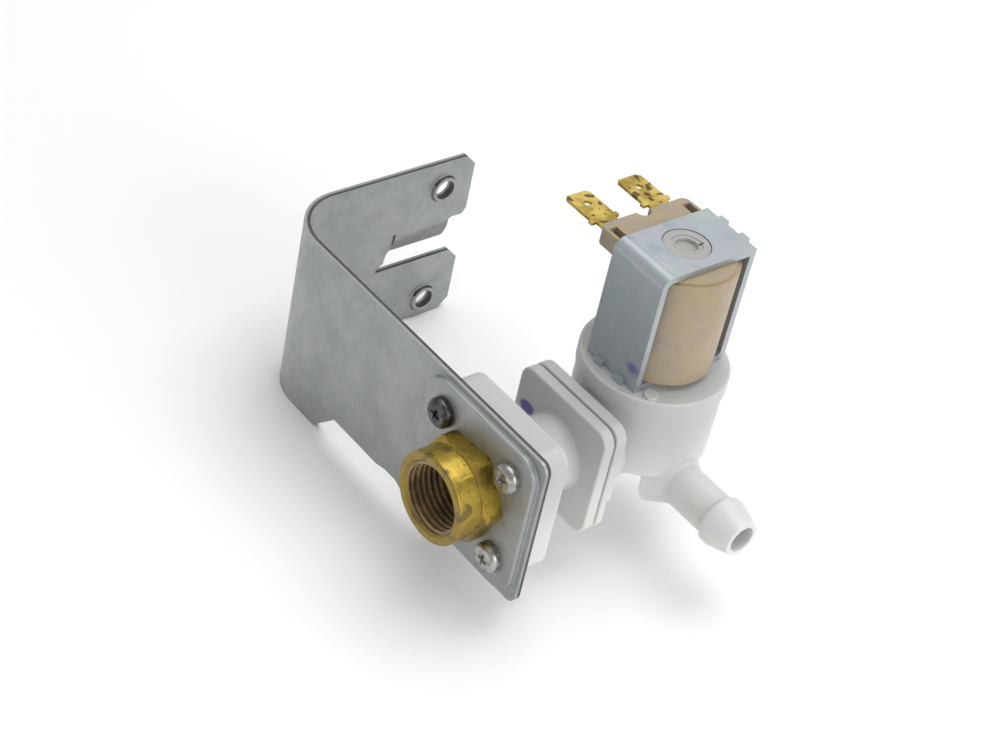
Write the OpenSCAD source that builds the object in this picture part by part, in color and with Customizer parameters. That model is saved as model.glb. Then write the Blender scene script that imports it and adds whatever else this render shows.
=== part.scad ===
// Water inlet solenoid valve on a bent sheet bracket.
// Origin: middle of the threaded inlet's mouth. +Y runs into the valve, +X towards the
// outlet barb, +Z up along the solenoid.

/* [Bracket] */
// Thickness of the galvanised sheet
sheet_t = 1.4; // [0.8:0.1:2.4]
// Half the height of the main plate's square end
plate_half = 19; // [18:0.5:26]
// Radius of the main plate's free corners
plate_corner_r = 2.5; // [1:0.5:5]
// Distance from the inlet axis to the outer face of the side plate
side_x = 75; // [65:1:110]
// Outer radius of the bend between the two plates
bend_r = 14; // [6:0.5:18]
// Distance from the main plate's front to the ends of the ears
ear_reach = 54.2; // [50:0.1:80]
// Distance from the inlet axis down to the deep part's lower edge
foot_drop = 25.8; // [24:0.1:34]
// Distance from the inlet axis to the deep part's end
foot_x = 52; // [44:0.1:56]
// Height that the pad round the inlet stands proud
pad_rise = 1.4; // [0.4:0.1:1.4]
// Width of the raised pad
pad_w = 35.6; // [34.2:0.1:36.4]
// Radius of the pad's corners
pad_corner_r = 5.5; // [3:0.5:8]
// Radius of the holes in the ears
ear_hole_r = 2.4; // [1.6:0.1:3]
// Wall of the collar drawn round each ear hole
collar_wall = 1; // [0.6:0.1:1.4]
// Height of the collar above the sheet
collar_h = 1; // [0.4:0.1:2]
// Distance between the ear holes
ear_hole_pitch = 32; // [30:0.5:36]
// Height of the upper ear hole above the inlet axis
ear_hole_z = 11.6; // [8:0.1:13]
// Height of the slot between the ears
slot_h = 5.4; // [4.5:0.1:7]
// Length of the slot between the ears
slot_len = 24.4; // [16:0.2:28]
// Outer radius of the curled lip on the upper ear
lip_r = 11; // [5:0.5:12]
// Angle of the curled lip
lip_angle = 33; // [15:1:50]

/* [Inlet fitting] */
// Length of the brass fitting in front of the pad
fitting_h = 10; // [7:0.1:14]
// Outer radius of the round nose
nose_r = 10.2; // [9.4:0.1:11]
// Bore radius of the inlet thread, at its crests
thread_r = 7.4; // [6:0.1:8]
// Length of the inlet thread
thread_len = 11; // [8:0.5:13]
// Width of the hexagon across its flats
hex_af = 20.6; // [20:0.1:24]
// Thickness of the hexagon
hex_t = 4.4; // [3:0.1:6]
// Radius of the spigot behind the plate
spigot_r = 9; // [8.6:0.1:9.4]
// Length of the spigot, from the pad's front
spigot_len = 8; // [7:0.1:10]

/* [Bracket screws] */
// Distance between neighbouring screws
screw_pitch = 22; // [21:0.5:24]
// Radius of the pan heads
head_r = 3.4; // [2.6:0.1:3.6]
// Height of the pan heads
head_h = 2.4; // [1.2:0.1:2.6]
// Radius of the screw threads
screw_r = 1.7; // [1.2:0.1:2]
// Length of the screws below their heads
screw_len = 8.6; // [6:0.1:9]

/* [Inlet adapter] */
// Width of the square block behind the plate
block_w = 31.6; // [30:0.2:32.4]
// Thickness of the square block
block_t = 10; // [9:0.1:14]
// Length of the neck between the block and the flange
neck_len = 11.5; // [9:0.5:16]
// Outer radius of the neck
neck_r = 8.4; // [7.6:0.1:10]
// Radius of the water passage
passage_r = 6; // [4.5:0.1:6.4]
// Width of the welded square flanges
flange_w = 27.8; // [26:0.2:32]
// Thickness of each flange
flange_t = 2.8; // [2:0.1:4]
// Thickness of the gasket between the flanges
gasket_t = 0.6; // [0.4:0.1:1]

/* [Valve body] */
// Distance from the flange's back to the solenoid axis
body_reach = 18; // [17:0.5:24]
// Outer radius of the round body
body_r = 16; // [15:0.1:18]
// Distance from the inlet axis down to the body's underside
body_drop = 3; // [1.5:0.1:5]
// Height of the body's top above the inlet axis
body_top = 13.3; // [11:0.1:18]
// Outer radius of the inlet spout
spout_r = 10.2; // [9.4:0.1:11]
// Radius of the annular water chamber
chamber_r = 12.2; // [11:0.1:12.6]
// Radius of the main orifice
orifice_r = 3.8; // [2.5:0.1:4.2]
// Wall of the riser that carries the valve seat
riser_wall = 1.5; // [1.2:0.1:2.2]

/* [Outlet barb] */
// Distance from the inlet axis down to the outlet axis
outlet_drop = 6.1; // [5.5:0.1:8]
// Outer radius of the outlet tube
outlet_r = 4.95; // [4.4:0.05:5.5]
// Radius of the outlet passage
outlet_bore_r = 3.1; // [2:0.1:3.4]
// Radius of the hose ridge
ridge_r = 5.85; // [5.6:0.05:6.4]
// Distance from the solenoid axis to the tip of the barb
outlet_len = 36; // [32:0.5:50]
// Radius of the cone at the root of the outlet tube
root_r = 8.2; // [6:0.1:8.5]

/* [Diaphragm] */
// Thickness of the diaphragm's middle
pad_t = 1.6; // [1:0.1:2.4]
// Thickness of the flexing web
web_t = 0.8; // [0.4:0.1:1]
// Lift of the diaphragm
diaphragm_lift = 1.4; // [0.8:0.1:1.4]
// Radius of the pilot hole
pilot_r = 0.5; // [0.3:0.1:0.8]

/* [Bonnet] */
// Radius of the bonnet's rim
rim_r = 16.4; // [15.8:0.1:19]
// Height of the bonnet's rim
rim_h = 4; // [3.8:0.1:6]
// Wall of the plunger guide
guide_wall = 0.82; // [0.6:0.02:1.2]
// Radial clearance between the plunger and its guide
plunger_clearance = 0.08; // [0.03:0.01:0.1]

/* [Plunger] */
// Radius of the plunger
plunger_r = 4; // [3.5:0.1:4.4]
// Length of the plunger
plunger_len = 20.4; // [14:0.1:22]
// Full travel of the plunger
plunger_travel = 2; // [1.5:0.1:3]
// Turns of the return spring
spring_turns = 7; // [4:1:9]
// Radius of the spring wire
wire_r = 0.25; // [0.15:0.05:0.3]

/* [Coil] */
// Radius of the moulded coil cover
coil_r = 12; // [11.6:0.1:14]
// Radius of the winding
winding_r = 10.2; // [8.5:0.1:10.3]
// Wall of the bobbin
bobbin_wall = 0.7; // [0.5:0.1:1.2]
// Thickness of the bobbin's flanges
bobbin_flange_t = 1; // [0.6:0.1:1.5]
// Wall of the steel sleeves in the bobbin
sleeve_wall = 0.55; // [0.4:0.05:0.8]

/* [Yoke] */
// Width of the yoke strip
yoke_w = 15.4; // [13:0.1:18]
// Thickness of the yoke strip
yoke_t = 1.5; // [1:0.1:2]
// Distance over the outside of the yoke's legs
yoke_span = 25.6; // [25.2:0.1:30]
// Height over the outside of the yoke
yoke_h = 29.3; // [26:0.1:40]
// Outer radius of the yoke's bends
yoke_bend_r = 2.5; // [1.8:0.1:3.5]
// Width of the staked tabs
tab_w = 2.4; // [1.6:0.1:3]
// Distance between the staked tabs
tab_pitch = 6.4; // [5:0.1:9]

/* [Terminals] */
// Width of the spade blades
blade_w = 6.35; // [4.8:0.05:6.35]
// Thickness of the spade blades
blade_t = 0.8; // [0.5:0.1:1]
// Length of each spade blade
blade_len = 8.8; // [6:0.1:9]
// Distance between the two spades
blade_pitch = 14.4; // [13.8:0.1:16]
// Distance from the solenoid axis to the terminal block's face
block_face_x = 13.7; // [13:0.1:17]

/* [Hidden] */
$fn = 96;

// Planes along Y, from the inlet's mouth to the solenoid axis.
plate_y = fitting_h + pad_rise;
plate_back_y = plate_y + sheet_t;
block_y = fitting_h + sheet_t;
block_back_y = block_y + block_t;
flange_y = block_back_y + neck_len;
gasket_y = flange_y + flange_t;
body_flange_y = gasket_y + gasket_t;
spout_y = body_flange_y + flange_t;
valve_y = spout_y + body_reach;
spigot_end_y = fitting_h + spigot_len;
flat_x = side_x - bend_r;
bend_y = plate_y + bend_r;
ear_end_y = plate_y + ear_reach;

// Slot and ears of the side plate.
slot_bottom_z = -8;
slot_top_z = slot_bottom_z + slot_h;
slot_end_y = ear_end_y - slot_len;
ear_chamfer = 2.8;
ear_step = 4.2;
ear_step_z = 2.1;
lip_end_y = ear_end_y - 4.8;
lip_start_y = slot_end_y + 4.2;
lip_z = slot_top_z + 4.4;
relief_w = 1.2;
notch_depth = 0.8;
step_run = foot_drop - plate_half;

// Brass fitting, its seal and its seat in the adapter.
spigot_gap = 0.1;
seal_r = 0.65;
seal_y = spigot_end_y - 3;
groove_w = 1.8;
groove_floor_r = spigot_r + spigot_gap - 2 * seal_r;
neck_bore_r = 5.6;
hex_corner_r = hex_af / sqrt(3) - 0.4;
hex_turn = 55;
hole_gap = 0.15;

// Screen, washer and passages.
screen_y = block_back_y + 5;
screen_t = 0.5;
screen_ring_t = 1.2;
screen_cup_r = passage_r - 1.6;
screen_cup_len = 6;
ledge = 0.8;
washer_t = 3;
washer_gap = 0.4;
washer_bore_r = 2.2;
washer_end_y = body_flange_y + washer_gap + washer_t;

// Heights of the valve's inside.
seat_z = body_top - 2.7;
seat_lip_h = 0.4;
recess_r = chamber_r + 1.8;
recess_floor_z = body_top - 1.8;
chamber_floor_z = -body_drop + 2.2;
riser_r = orifice_r + riser_wall;
riser_floor_z = -outlet_drop - outlet_r;
flange_corner_r = 3.6;
gasket_inset = 1.6;
gasket_corner_r = 2;
block_round = 4;
flange_step = 1.2;
flange_step_z = -5.3;
inlet_room_r = spout_r - 2.6;
inlet_room_y = washer_end_y + 2.8;
spout_end_y = valve_y - riser_r + 1;
inlet_room_end_y = spout_end_y - 2.4;
cone_x = body_r - 3.9;
cone_end_x = cone_x + 5.2;
ridge_x = cone_end_x + 10.6;
ridge_land = 1.6;
ridge_run = 1;
tip_r = 4.2;

// Diaphragm, insert and bonnet.
pad_r = riser_r + 0.6;
stem_r = 2;
stem_gap = 0.05;
insert_t = 1.8;
insert_z = seat_z + pad_t;
nozzle_r = 1.6;
nozzle_h = 1;
nozzle_z = insert_z + insert_t + nozzle_h;
bleed_r = 0.3;
bleed_x = 5.2;
bonnet_room_z = insert_z + insert_t + diaphragm_lift + 0.5;
bonnet_room_r = chamber_r - 1.2;
rim_top_z = body_top + rim_h;
guide_bore_r = plunger_r + plunger_clearance;
guide_r = guide_bore_r + guide_wall;
peg_r = 1.5;
peg_h = 0.6;
peg_ring_r = rim_r - 2.1;

// Yoke.
yoke_z = rim_top_z;
yoke_floor_z = yoke_z + yoke_t;
yoke_top_z = yoke_z + yoke_h;
yoke_roof_z = yoke_top_z - yoke_t;
yoke_near_y = valve_y - yoke_span / 2;
yoke_far_y = valve_y + yoke_span / 2;
tab_rise = 1.1;

// Plunger, spring and guide above the seat.
plunger_z = nozzle_z + 0.6;
plunger_top_z = plunger_z + plunger_len;
seal_plug_r = 2.2;
seal_plug_h = 2.5;
pocket_r = 2.6;
pocket_depth = 6;
stop_gap = 0.1;
stop_z = plunger_top_z + plunger_travel + stop_gap;
guide_end_z = yoke_roof_z - 3.1;
hub_z = yoke_roof_z + 0.1;
hub_top_z = yoke_top_z - 0.2;
hub_lip = 0.2;
hub_recess_r = 2.6;
hub_recess_depth = 1;
coil_gap = 0.1;
sleeve_bore_r = guide_r + coil_gap;
sleeve_r = sleeve_bore_r + sleeve_wall;
lower_sleeve_len = 9.7;
upper_sleeve_len = 11.1;
yoke_hole_gap = 0.15;
yoke_hole_r = guide_r + hub_lip + yoke_hole_gap;
spring_r = pocket_r - wire_r - 0.25;
spring_z = plunger_top_z - pocket_depth + wire_r;
spring_top_z = guide_end_z - wire_r;

// Coil.
coil_z = yoke_floor_z + coil_gap;
coil_top_z = yoke_roof_z - coil_gap;
bobbin_bore_r = sleeve_r + 0.05;
bobbin_r = bobbin_bore_r + bobbin_wall;
bobbin_flange_r = winding_r + 0.4;
bobbin_top_z = coil_top_z - 0.6;
coil_flat_y = yoke_span / 2 - yoke_t - coil_gap;

// Terminals.
blade_z = coil_top_z - 1.5;
blade_neck_w = 5;
shoulder_w = blade_w + 1.2;
shoulder_len = 1.2;
shoulder_x = block_face_x + 2.9;
blade_tip_x = shoulder_x + shoulder_len + blade_len;
blade_root_x = 10.4;
blade_hole_r = 0.85;
blade_hole_inset = 4;
blade_chamfer = 0.8;
block_inner_x = yoke_w / 2 + 0.2;
block_side = 1.6;
block_len = blade_pitch + blade_w + 2 * block_side;
block_z = blade_z - 1.7;
block_top_z = coil_top_z + 0.9;
block_corner_r = 1.8;
window_w = 2;
window_len = 3.4;
window_inset = 2.2;
window_edge = 0.8;
window_y = block_len / 2 - window_edge - window_w / 2;
notch_r = 1.8;

// Flat shape in X and Z, drawn out along Y between two planes.
module along_y(y0, y1) {
    translate([0, y1, 0])
        rotate([90, 0, 0])
            linear_extrude(y1 - y0)
                children();
}

// Flat shape in Y and Z, drawn out along X between two planes.
module along_x(x0, x1) {
    translate([x0, 0, 0])
        rotate([90, 0, 90])
            linear_extrude(x1 - x0)
                children();
}

// Round bar along Y on the inlet axis.
module bar_y(r, y0, y1) {
    translate([0, y0, 0])
        rotate([-90, 0, 0])
            cylinder(r = r, h = y1 - y0);
}

// Round bar along Z on the solenoid axis.
module bar_z(r, z0, z1) {
    translate([0, valve_y, z0])
        cylinder(r = r, h = z1 - z0);
}

// Rectangle with rounded corners, centred.
module rounded_square(w, h, r) {
    square([w - 2 * r, h], center = true);
    square([w, h - 2 * r], center = true);
    for (sx = [-1, 1], sz = [-1, 1])
        translate([sx * (w / 2 - r), sz * (h / 2 - r)])
            circle(r);
}

// Puts a child at each of the four bracket screws.
module at_screws() {
    for (sx = [-1, 1], sz = [-1, 1])
        translate([sx * screw_pitch / 2, 0, sz * screw_pitch / 2])
            children();
}

module main_plate_outline() {
    difference() {
        union() {
            rounded_square(2 * plate_half, 2 * plate_half, plate_corner_r);
            polygon([
                [-flat_x, plate_half], [0, plate_half], [0, -plate_half],
                [-foot_x + step_run, -plate_half], [-foot_x, -foot_drop],
                [-flat_x, -foot_drop]
            ]);
        }
        polygon([
            [-29.3, -plate_half - 1], [-29.3, -plate_half], [-26.3, -plate_half + notch_depth],
            [-22.5, -plate_half + notch_depth], [-20.5, -plate_half], [-20.5, -plate_half - 1]
        ]);
    }
}

module side_plate_outline() {
    polygon([
        [bend_y, plate_half],
        [ear_end_y - ear_chamfer, plate_half],
        [ear_end_y, plate_half - ear_chamfer],
        [ear_end_y, ear_step_z + 1.6],
        [ear_end_y - 1, ear_step_z],
        [ear_end_y - ear_step, ear_step_z],
        [ear_end_y - ear_step, lip_z],
        [lip_start_y - relief_w, lip_z],
        [lip_start_y - relief_w, slot_top_z + 0.4],
        [slot_end_y + 2.2, slot_top_z - 0.9],
        [slot_end_y + 1.8, slot_top_z - 3.3],
        [slot_end_y, slot_bottom_z + 0.9],
        [slot_end_y, slot_bottom_z],
        [ear_end_y - ear_chamfer, slot_bottom_z],
        [ear_end_y, slot_bottom_z - ear_chamfer],
        [ear_end_y, -foot_drop + ear_chamfer],
        [ear_end_y - ear_chamfer, -foot_drop],
        [bend_y, -foot_drop]
    ]);
}

// Lip of the upper ear, curled away from the valve.
module curled_lip() {
    translate([-side_x + sheet_t - lip_r, lip_end_y, lip_z])
        rotate([90, 0, 0])
            rotate([0, 0, -lip_angle])
                linear_extrude(lip_end_y - lip_start_y)
                    intersection() {
                        difference() {
                            circle(lip_r);
                            circle(lip_r - sheet_t);
                        }
                        polygon([[0, 0], [2 * lip_r, 0],
                            [2 * lip_r * cos(lip_angle), 2 * lip_r * sin(lip_angle)]]);
                    }
}

module at_ear_holes() {
    for (k = [0, 1])
        translate([-side_x, valve_y, ear_hole_z - k * ear_hole_pitch])
            rotate([0, 90, 0])
                children();
}

module bracket() color("silver") difference() {
    union() {
        along_y(plate_y, plate_back_y) main_plate_outline();
        along_y(fitting_h, plate_y + sheet_t / 2)
            rounded_square(pad_w, pad_w, pad_corner_r);
        translate([-flat_x, bend_y, -foot_drop])
            rotate([0, 0, 180])
                rotate_extrude(angle = 90)
                    translate([bend_r - sheet_t, 0])
                        square([sheet_t, plate_half + foot_drop]);
        along_x(-side_x, -side_x + sheet_t) side_plate_outline();
        curled_lip();
        at_ear_holes()
            cylinder(r = ear_hole_r + collar_wall, h = sheet_t + collar_h);
    }
    along_y(block_y, plate_back_y + 1)
        rounded_square(pad_w - 2 * sheet_t, pad_w - 2 * sheet_t, pad_corner_r - sheet_t);
    bar_y(spigot_r + hole_gap, 0, plate_back_y + 1);
    at_screws()
        bar_y(screw_r + 2 * hole_gap, 0, plate_back_y + 1);
    at_ear_holes()
        translate([0, 0, -1])
            cylinder(r = ear_hole_r, h = sheet_t + collar_h + 2);
}

module inlet_fitting() color("goldenrod") difference() {
    union() {
        bar_y(nose_r, 0, fitting_h - hex_t / 2);
        intersection() {
            along_y(fitting_h - hex_t, fitting_h)
                rotate(hex_turn) circle(hex_af / sqrt(3), $fn = 6);
            bar_y(hex_corner_r, fitting_h - hex_t, fitting_h);
        }
        bar_y(spigot_r, fitting_h - 1, spigot_end_y);
    }
    bar_y(thread_r, -1, thread_len);
    bar_y(neck_bore_r, 0, spigot_end_y + 1);
    difference() {
        bar_y(spigot_r + 1, seal_y - groove_w / 2, seal_y + groove_w / 2);
        bar_y(groove_floor_r, seal_y - groove_w, seal_y + groove_w);
    }
}

// Pan head: a flat rim with a domed top.
module pan_head() {
    dome_r = (head_r * head_r + head_h * head_h) / (2 * head_h) * 1.35;
    intersection() {
        cylinder(r = head_r, h = head_h);
        translate([0, 0, head_h - dome_r])
            sphere(dome_r);
    }
}

module bracket_screws() color("gainsboro") at_screws()
    translate([0, fitting_h, 0]) difference() {
        union() {
            rotate([90, 0, 0]) pan_head();
            rotate([-90, 0, 0]) cylinder(r = screw_r, h = screw_len);
        }
        for (turn = [0, 90])
            translate([0, -head_h, 0])
                rotate([0, turn, 0])
                    cube([0.55 * 2 * head_r, head_h, 0.8], center = true);
    }

module fitting_seal() color("dimgray") translate([0, seal_y, 0])
    rotate([-90, 0, 0])
        rotate_extrude()
            translate([spigot_r + spigot_gap - seal_r, 0])
                circle(seal_r, $fn = 48);

module inlet_adapter() color("whitesmoke") difference() {
    union() {
        along_y(block_y, block_back_y) rounded_square(block_w, block_w, block_round);
        bar_y(neck_r, block_back_y - 1, flange_y + 1);
        along_y(flange_y, gasket_y) rounded_square(flange_w, flange_w, flange_corner_r);
    }
    bar_y(spigot_r + spigot_gap, block_y - 1, spigot_end_y + 0.2);
    bar_y(passage_r, block_y, screen_y);
    bar_y(passage_r - ledge, block_y, gasket_y + 1);
    at_screws()
        bar_y(screw_r, block_y - 1, fitting_h + screw_len + 0.5);
}

// Cup-shaped strainer; its rim rests on the ledge of the adapter's passage.
module inlet_screen() color("lightgray") translate([0, screen_y, 0])
    rotate([90, 0, 0])
        difference() {
            union() {
                cylinder(r = passage_r, h = screen_ring_t);
                cylinder(r = screen_cup_r, h = screen_cup_len);
            }
            translate([0, 0, -1])
                cylinder(r = screen_cup_r - screen_t, h = screen_cup_len - screen_t + 1);
        }

module flange_gasket() color("dimgray") difference() {
    gasket_w = flange_w - 2 * gasket_inset;
    along_y(gasket_y, body_flange_y) rounded_square(gasket_w, gasket_w, gasket_corner_r);
    bar_y(passage_r + 0.6, gasket_y - 1, body_flange_y + 1);
}

module flow_washer() color("black") difference() {
    bar_y(passage_r + 0.4, body_flange_y + washer_gap, washer_end_y);
    bar_y(washer_bore_r, body_flange_y, washer_end_y + 1);
}

// Outlet cone, tube and hose ridge, turned about the outlet axis.
module outlet_nose() {
    translate([0, valve_y, -outlet_drop])
        rotate([0, 90, 0])
            rotate_extrude()
                polygon([
                    [0, cone_x], [root_r, cone_x], [outlet_r, cone_end_x],
                    [outlet_r, ridge_x], [ridge_r, ridge_x + ridge_run],
                    [ridge_r, ridge_x + ridge_run + ridge_land],
                    [tip_r, outlet_len], [0, outlet_len]
                ]);
}

module outlet_bar(r, x0, x1) {
    translate([x0, valve_y, -outlet_drop])
        rotate([0, 90, 0])
            cylinder(r = r, h = x1 - x0);
}

// Inlet flange of the body: its back steps forward below the spout's middle.
module body_flange() difference() {
    along_y(body_flange_y, spout_y) rounded_square(flange_w, flange_w, flange_corner_r);
    translate([-flange_w, spout_y - flange_step, flange_step_z - flange_w])
        cube([2 * flange_w, 2 * flange_step, flange_w]);
}

module valve_body() color("white") difference() {
    union() {
        body_flange();
        bar_y(spout_r, spout_y - 1, spout_end_y);
        bar_z(body_r, -body_drop, body_top);
        bar_z(riser_r, -outlet_drop, seat_z - seat_lip_h);
        translate([0, valve_y, -outlet_drop]) sphere(riser_r);
        outlet_bar(outlet_r, 0, cone_x + 1);
        outlet_nose();
    }
    difference() {
        union() {
            bar_y(inlet_room_r, inlet_room_y, inlet_room_end_y);
            bar_z(chamber_r, chamber_floor_z, recess_floor_z + 1);
        }
        bar_z(riser_r, riser_floor_z, seat_z - seat_lip_h);
        bar_z(orifice_r + 1, riser_floor_z, seat_z);
    }
    bar_z(recess_r, recess_floor_z, body_top + 1);
    bar_y(passage_r + 0.4, body_flange_y - 1, washer_end_y);
    bar_y(passage_r - ledge, body_flange_y, inlet_room_y + 1);
    bar_z(orifice_r, -outlet_drop, body_top);
    outlet_bar(outlet_bore_r, 0, outlet_len + 1);
}

// Rubber disc: clamped bead, thin web and thick middle.
module diaphragm() color("black") difference() {
    translate([0, valve_y, 0])
        rotate_extrude()
            polygon([
                [stem_r + stem_gap, seat_z], [pad_r, seat_z], [pad_r, insert_z - web_t],
                [chamber_r, insert_z - web_t], [chamber_r, recess_floor_z],
                [recess_r, recess_floor_z], [recess_r, body_top],
                [chamber_r, body_top], [chamber_r, insert_z], [stem_r + stem_gap, insert_z]
            ]);
    translate([bleed_x, 0, 0]) bar_z(2 * bleed_r, seat_z - 1, body_top);
}

module diaphragm_insert() color("ivory") difference() {
    union() {
        bar_z(stem_r, seat_z, insert_z + 1);
        bar_z(pad_r + 0.4, insert_z, insert_z + insert_t);
        bar_z(nozzle_r, insert_z, nozzle_z);
    }
    bar_z(pilot_r, seat_z - 1, nozzle_z + 1);
    translate([bleed_x, 0, 0]) bar_z(bleed_r, insert_z - 1, nozzle_z);
}

module bonnet() color("white") difference() {
    union() {
        bar_z(rim_r, body_top, rim_top_z);
        bar_z(guide_r, rim_top_z - 1, hub_top_z);
        bar_z(guide_r + hub_lip, hub_z, hub_top_z);
        for (turn = [-45, 135])
            translate([peg_ring_r * cos(turn), peg_ring_r * sin(turn), 0])
                bar_z(peg_r, rim_top_z - 1, rim_top_z + peg_h);
    }
    bar_z(bonnet_room_r, body_top - 1, bonnet_room_z);
    bar_z(guide_bore_r, bonnet_room_z - 1, stop_z);
    bar_z(pocket_r, stop_z - 1, guide_end_z);
    bar_z(hub_recess_r, hub_top_z - hub_recess_depth, hub_top_z + 1);
}

module plunger() color("silver") difference() {
    bar_z(plunger_r, plunger_z, plunger_top_z);
    bar_z(seal_plug_r, plunger_z - 1, nozzle_z + seal_plug_h);
    bar_z(pocket_r, plunger_top_z - pocket_depth, plunger_top_z + 1);
}

module plunger_seal() color("black")
    bar_z(seal_plug_r, nozzle_z, nozzle_z + seal_plug_h);

// Points of one ring of the spring wire, at a turn counted from the bottom.
function spring_ring(turn, sides) =
    let (z = spring_z + (spring_top_z - spring_z) * turn / spring_turns)
    [for (k = [0 : sides - 1])
        let (a = 360 * k / sides, r = spring_r + wire_r * cos(a))
        [r * cos(360 * turn), valve_y + r * sin(360 * turn), z + wire_r * sin(a)]];

module plunger_spring() color("lightsteelblue") {
    sides = 8;
    steps = 14 * spring_turns;
    rings = [for (i = [0 : steps]) each spring_ring(i * spring_turns / steps, sides)];
    walls = [for (i = [0 : steps - 1], k = [0 : sides - 1])
        let (next = (k + 1) % sides)
        [i * sides + k, (i + 1) * sides + k, (i + 1) * sides + next, i * sides + next]];
    first = [for (k = [0 : sides - 1]) k];
    last = [for (k = [0 : sides - 1]) steps * sides + sides - 1 - k];
    polyhedron(rings, concat([first], walls, [last]));
}

module sleeve(z0, z1) difference() {
    bar_z(sleeve_r, z0, z1);
    bar_z(sleeve_bore_r, z0 - 1, z1 + 1);
}

module lower_sleeve() color("lightsteelblue")
    sleeve(yoke_floor_z, yoke_floor_z + lower_sleeve_len);

module upper_sleeve() color("lightsteelblue")
    sleeve(yoke_roof_z - upper_sleeve_len, yoke_roof_z);

module bobbin() color("wheat") difference() {
    union() {
        bar_z(bobbin_flange_r, coil_z, coil_z + bobbin_flange_t);
        bar_z(bobbin_r, coil_z, bobbin_top_z);
        bar_z(bobbin_flange_r, bobbin_top_z - bobbin_flange_t, bobbin_top_z);
    }
    bar_z(bobbin_bore_r, coil_z - 1, bobbin_top_z + 1);
}

module winding() color("peru") difference() {
    bar_z(winding_r, coil_z + bobbin_flange_t, bobbin_top_z - bobbin_flange_t);
    bar_z(bobbin_r, coil_z, bobbin_top_z);
}

// Outline of a terminal from above: spade, shoulders and root.
module terminal_outline() {
    half = blade_w / 2;
    difference() {
        union() {
            polygon([
                [-blade_tip_x, -half + blade_chamfer], [-blade_tip_x + blade_chamfer, -half],
                [-shoulder_x, -half], [-shoulder_x, half],
                [-blade_tip_x + blade_chamfer, half], [-blade_tip_x, half - blade_chamfer]
            ]);
            translate([-shoulder_x - shoulder_len, -shoulder_w / 2])
                square([shoulder_len, shoulder_w]);
            translate([-shoulder_x, -blade_neck_w / 2])
                square([shoulder_x - blade_root_x, blade_neck_w]);
        }
        translate([-blade_tip_x + blade_hole_inset, 0]) circle(blade_hole_r);
    }
}

module terminal(side) {
    translate([0, valve_y + side * blade_pitch / 2, blade_z - blade_t / 2])
        linear_extrude(blade_t)
            terminal_outline();
}

module terminal_front() color("khaki") terminal(-1);

module terminal_rear() color("khaki") terminal(1);

// Lobed block that holds the two terminals.
module terminal_block() {
    difference() {
        translate([-block_face_x, valve_y, block_z])
            linear_extrude(block_top_z - block_z)
                difference() {
                    translate([10, 0])
                        rounded_square(20, block_len, block_corner_r);
                    circle(notch_r);
                    translate([block_face_x - block_inner_x, -block_len / 2 - 1])
                        square([20, block_len + 2]);
                }
        for (side = [-1, 1])
            translate([-block_face_x + window_inset, valve_y + side * window_y - window_w / 2,
                blade_z + blade_t / 2])
                cube([window_len, window_w, block_top_z]);
    }
}

module coil_cover() color("tan") difference() {
    union() {
        intersection() {
            bar_z(coil_r, coil_z, coil_top_z);
            translate([-2 * coil_r, valve_y - coil_flat_y, coil_z])
                cube([4 * coil_r, 2 * coil_flat_y, yoke_h]);
        }
        terminal_block();
        translate([-block_inner_x - 1, valve_y - coil_flat_y + 0.6, block_z])
            cube([block_inner_x, 2 * coil_flat_y - 1.2, coil_top_z - block_z]);
    }
    bar_z(bobbin_flange_r, coil_z - 1, bobbin_top_z);
    bar_z(bobbin_bore_r, coil_z, coil_top_z + 1);
    terminal(-1);
    terminal(1);
}

// Section of an angle strip in Y and Z with its bend at the origin's corner.
module angle_section(run, rise) {
    difference() {
        union() {
            translate([yoke_bend_r, 0]) square([run - yoke_bend_r, yoke_t]);
            translate([0, yoke_bend_r]) square([yoke_t, rise - yoke_bend_r]);
            intersection() {
                translate([yoke_bend_r, yoke_bend_r]) circle(yoke_bend_r);
                square(yoke_bend_r);
            }
        }
        translate([yoke_bend_r, yoke_bend_r]) circle(yoke_bend_r - yoke_t);
    }
}

module tab_row(w) {
    for (side = [-1, 1])
        translate([side * tab_pitch / 2 - w / 2, 0, 0])
            children();
}

// One of the two equal angle strips: a plate on top with tabs at its far end, and a
// near leg with open notches at its foot for the other strip's tabs.
module yoke_half() difference() {
    union() {
        translate([0, yoke_near_y, yoke_top_z])
            mirror([0, 0, 1])
                along_x(-yoke_w / 2, yoke_w / 2) angle_section(yoke_span - yoke_t, yoke_h);
        tab_row(tab_w) translate([0, yoke_far_y - yoke_t - 1, yoke_roof_z])
            cube([tab_w, yoke_t + tab_rise + 1, yoke_t]);
    }
    bar_z(yoke_hole_r, yoke_z, yoke_top_z + 1);
    tab_row(tab_w) translate([0, yoke_near_y - 1, yoke_z - 1])
        cube([tab_w, yoke_t + 2, yoke_t + 1]);
}

module yoke_upper() color("lightsteelblue") yoke_half();

module yoke_lower() color("lightsteelblue")
    translate([0, 2 * valve_y, yoke_z + yoke_top_z])
        rotate([180, 0, 0])
            yoke_half();

bracket();
inlet_fitting();
bracket_screws();
fitting_seal();
inlet_adapter();
inlet_screen();
flange_gasket();
flow_washer();
valve_body();
diaphragm();
diaphragm_insert();
bonnet();
plunger();
plunger_seal();
plunger_spring();
lower_sleeve();
upper_sleeve();
bobbin();
winding();
coil_cover();
terminal_front();
terminal_rear();
yoke_upper();
yoke_lower();
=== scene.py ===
"""Looks of a water inlet solenoid valve on its bent sheet bracket. Metres, +Z up."""
import math

import bmesh
import bpy
from mathutils import Matrix, Vector


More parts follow.
